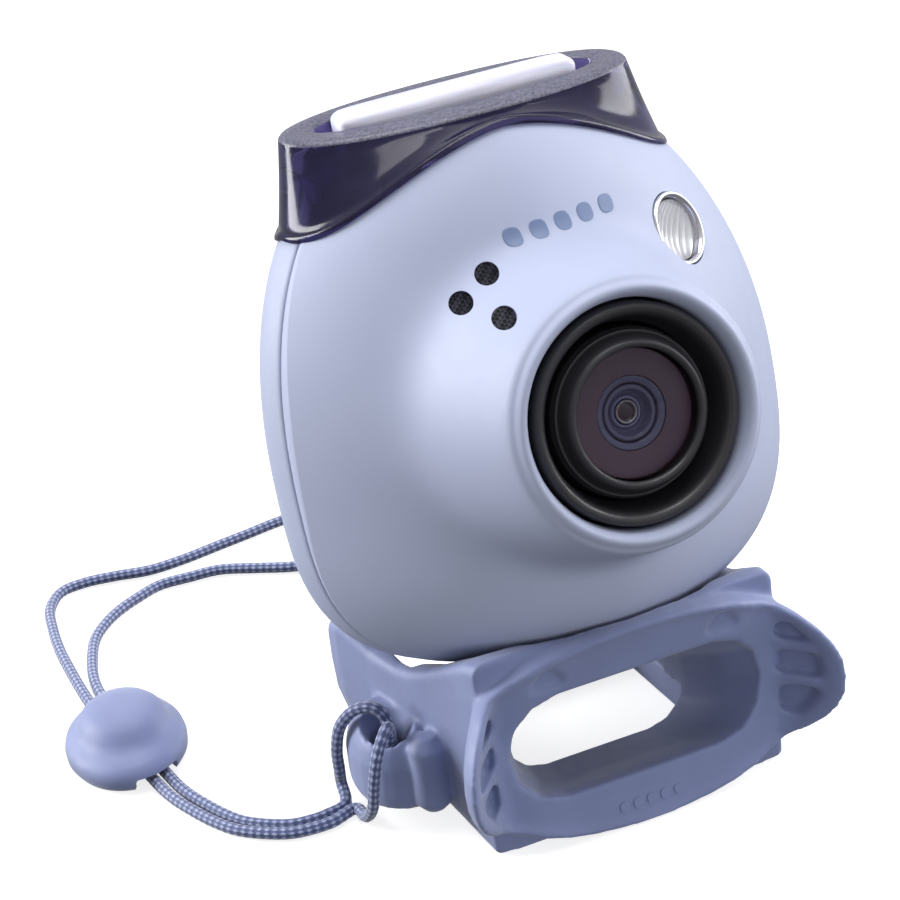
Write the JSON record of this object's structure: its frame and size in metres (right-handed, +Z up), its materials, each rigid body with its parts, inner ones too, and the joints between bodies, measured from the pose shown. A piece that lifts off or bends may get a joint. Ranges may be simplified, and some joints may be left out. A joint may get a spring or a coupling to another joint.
{
  "type": "palm-size camera in a finger ring",
  "caption": "Egg-round palm-size camera with a smoky top light window, standing tilted back in its soft finger ring with a braided wrist cord.",
  "frame": {"origin": "centre of the footprint of ring and camera, on the table; the wrist cord is not counted", "axes": "+Z up; the lens looks along -Y, tilted 15 degrees up; +X to the camera's own left side, the viewer's right"},
  "size_m": [0.0586, 0.0729, 0.0548],
  "materials": {
    "shell": "fine satin moulded plastic, lavender blue",
    "accent_plastic": "satin plastic, a shade darker than the shell",
    "smoked_plastic": "smoked purple plastic, fine satin on the rim",
    "diffuser": "milky white light guide",
    "black_plastic": "satin black plastic",
    "slate_plastic": "dark slate plastic",
    "lens_glass": "coated dark glass",
    "clear_plastic": "clear fluted flash cover",
    "reflector": "bright reflector",
    "mesh": "fine black woven mesh",
    "circuit_board": "green solder mask",
    "steel": "plain plated steel",
    "brass": "machined brass",
    "inner_plastic": "dark grey structural plastic",
    "battery_wrap": "silver pouch film",
    "flex_film": "amber flexible printed film",
    "soft_ring": "soft matte slate-blue elastomer",
    "cord": "fine braided cord with pale flecks"
  },
  "bodies": {
    "ring": {"finger_ring": "soft_ring", "wrist_cord": "cord"},
    "camera": {"front_shell": "shell", "rear_shell": "shell", "top_window": "smoked_plastic", "light_bar": "diffuser", "shutter_ring": "diffuser", "light_board": "circuit_board", "lens_outer_ring": "black_plastic", "lens_inner_tube": "black_plastic", "lens_window": "lens_glass", "lens_barrel": "slate_plastic", "lens_front_element": "lens_glass", "lens_rear_element": "lens_glass", "lens_holder": "black_plastic", "image_sensor": "lens_glass", "sensor_board": "circuit_board", "flash_window": "clear_plastic", "flash_reflector": "reflector", "flash_board": "circuit_board", "speaker": "black_plastic", "speaker_mesh_1": "mesh", "speaker_mesh_2": "mesh", "speaker_mesh_3": "mesh", "inner_frame": "inner_plastic", "main_board": "circuit_board", "board_screw_1": "steel", "board_screw_2": "steel", "shell_screw_1": "steel", "shell_screw_2": "steel", "shell_screw_3": "steel", "shell_screw_4": "steel", "battery_tray": "inner_plastic", "battery": "battery_wrap", "card_socket": "steel", "usb_socket": "steel", "antenna_board": "circuit_board", "flex_cable": "flex_film", "tripod_nut": "brass", "button_board": "circuit_board", "shutter_switch": "steel", "power_switch": "steel", "slider_switch": "steel", "door_pin": "steel"},
    "shutter_button": {"shutter_button": "accent_plastic"},
    "power_button": {"power_button": "accent_plastic"},
    "mode_slider": {"mode_slider": "accent_plastic"},
    "port_door": {"port_door": "shell"},
    "cord_bead": {"cord_bead": "soft_ring"}
  },
  "joints": [
    {"name": "camera_lift", "type": "slide", "parent": "ring", "child": "camera", "axis": [0, 0, 1], "range_m": [0, 0.03]},
    {"name": "shutter_press", "type": "slide", "parent": "camera", "child": "shutter_button", "axis": [0, -0.9659, 0.2588], "range_m": [0, 0.00035], "stiffness_N_per_m": 700},
    {"name": "power_press", "type": "slide", "parent": "camera", "child": "power_button", "axis": [-1, 0, 0], "range_m": [0, 0.00035], "stiffness_N_per_m": 700},
    {"name": "mode_slide", "type": "slide", "parent": "camera", "child": "mode_slider", "axis": [1, 0, 0], "range_m": [-0.0012, 0.0012]},
    {"name": "port_hinge", "type": "hinge", "parent": "camera", "child": "port_door", "pos_m": [0, 0.00967, 0.01079], "axis": [1, 0, 0], "range_deg": [0, 70]},
    {"name": "bead_slide", "type": "slide", "parent": "ring", "child": "cord_bead", "axis": [0, 1, 0], "range_m": [-0.003, 0.003]}
  ]
}
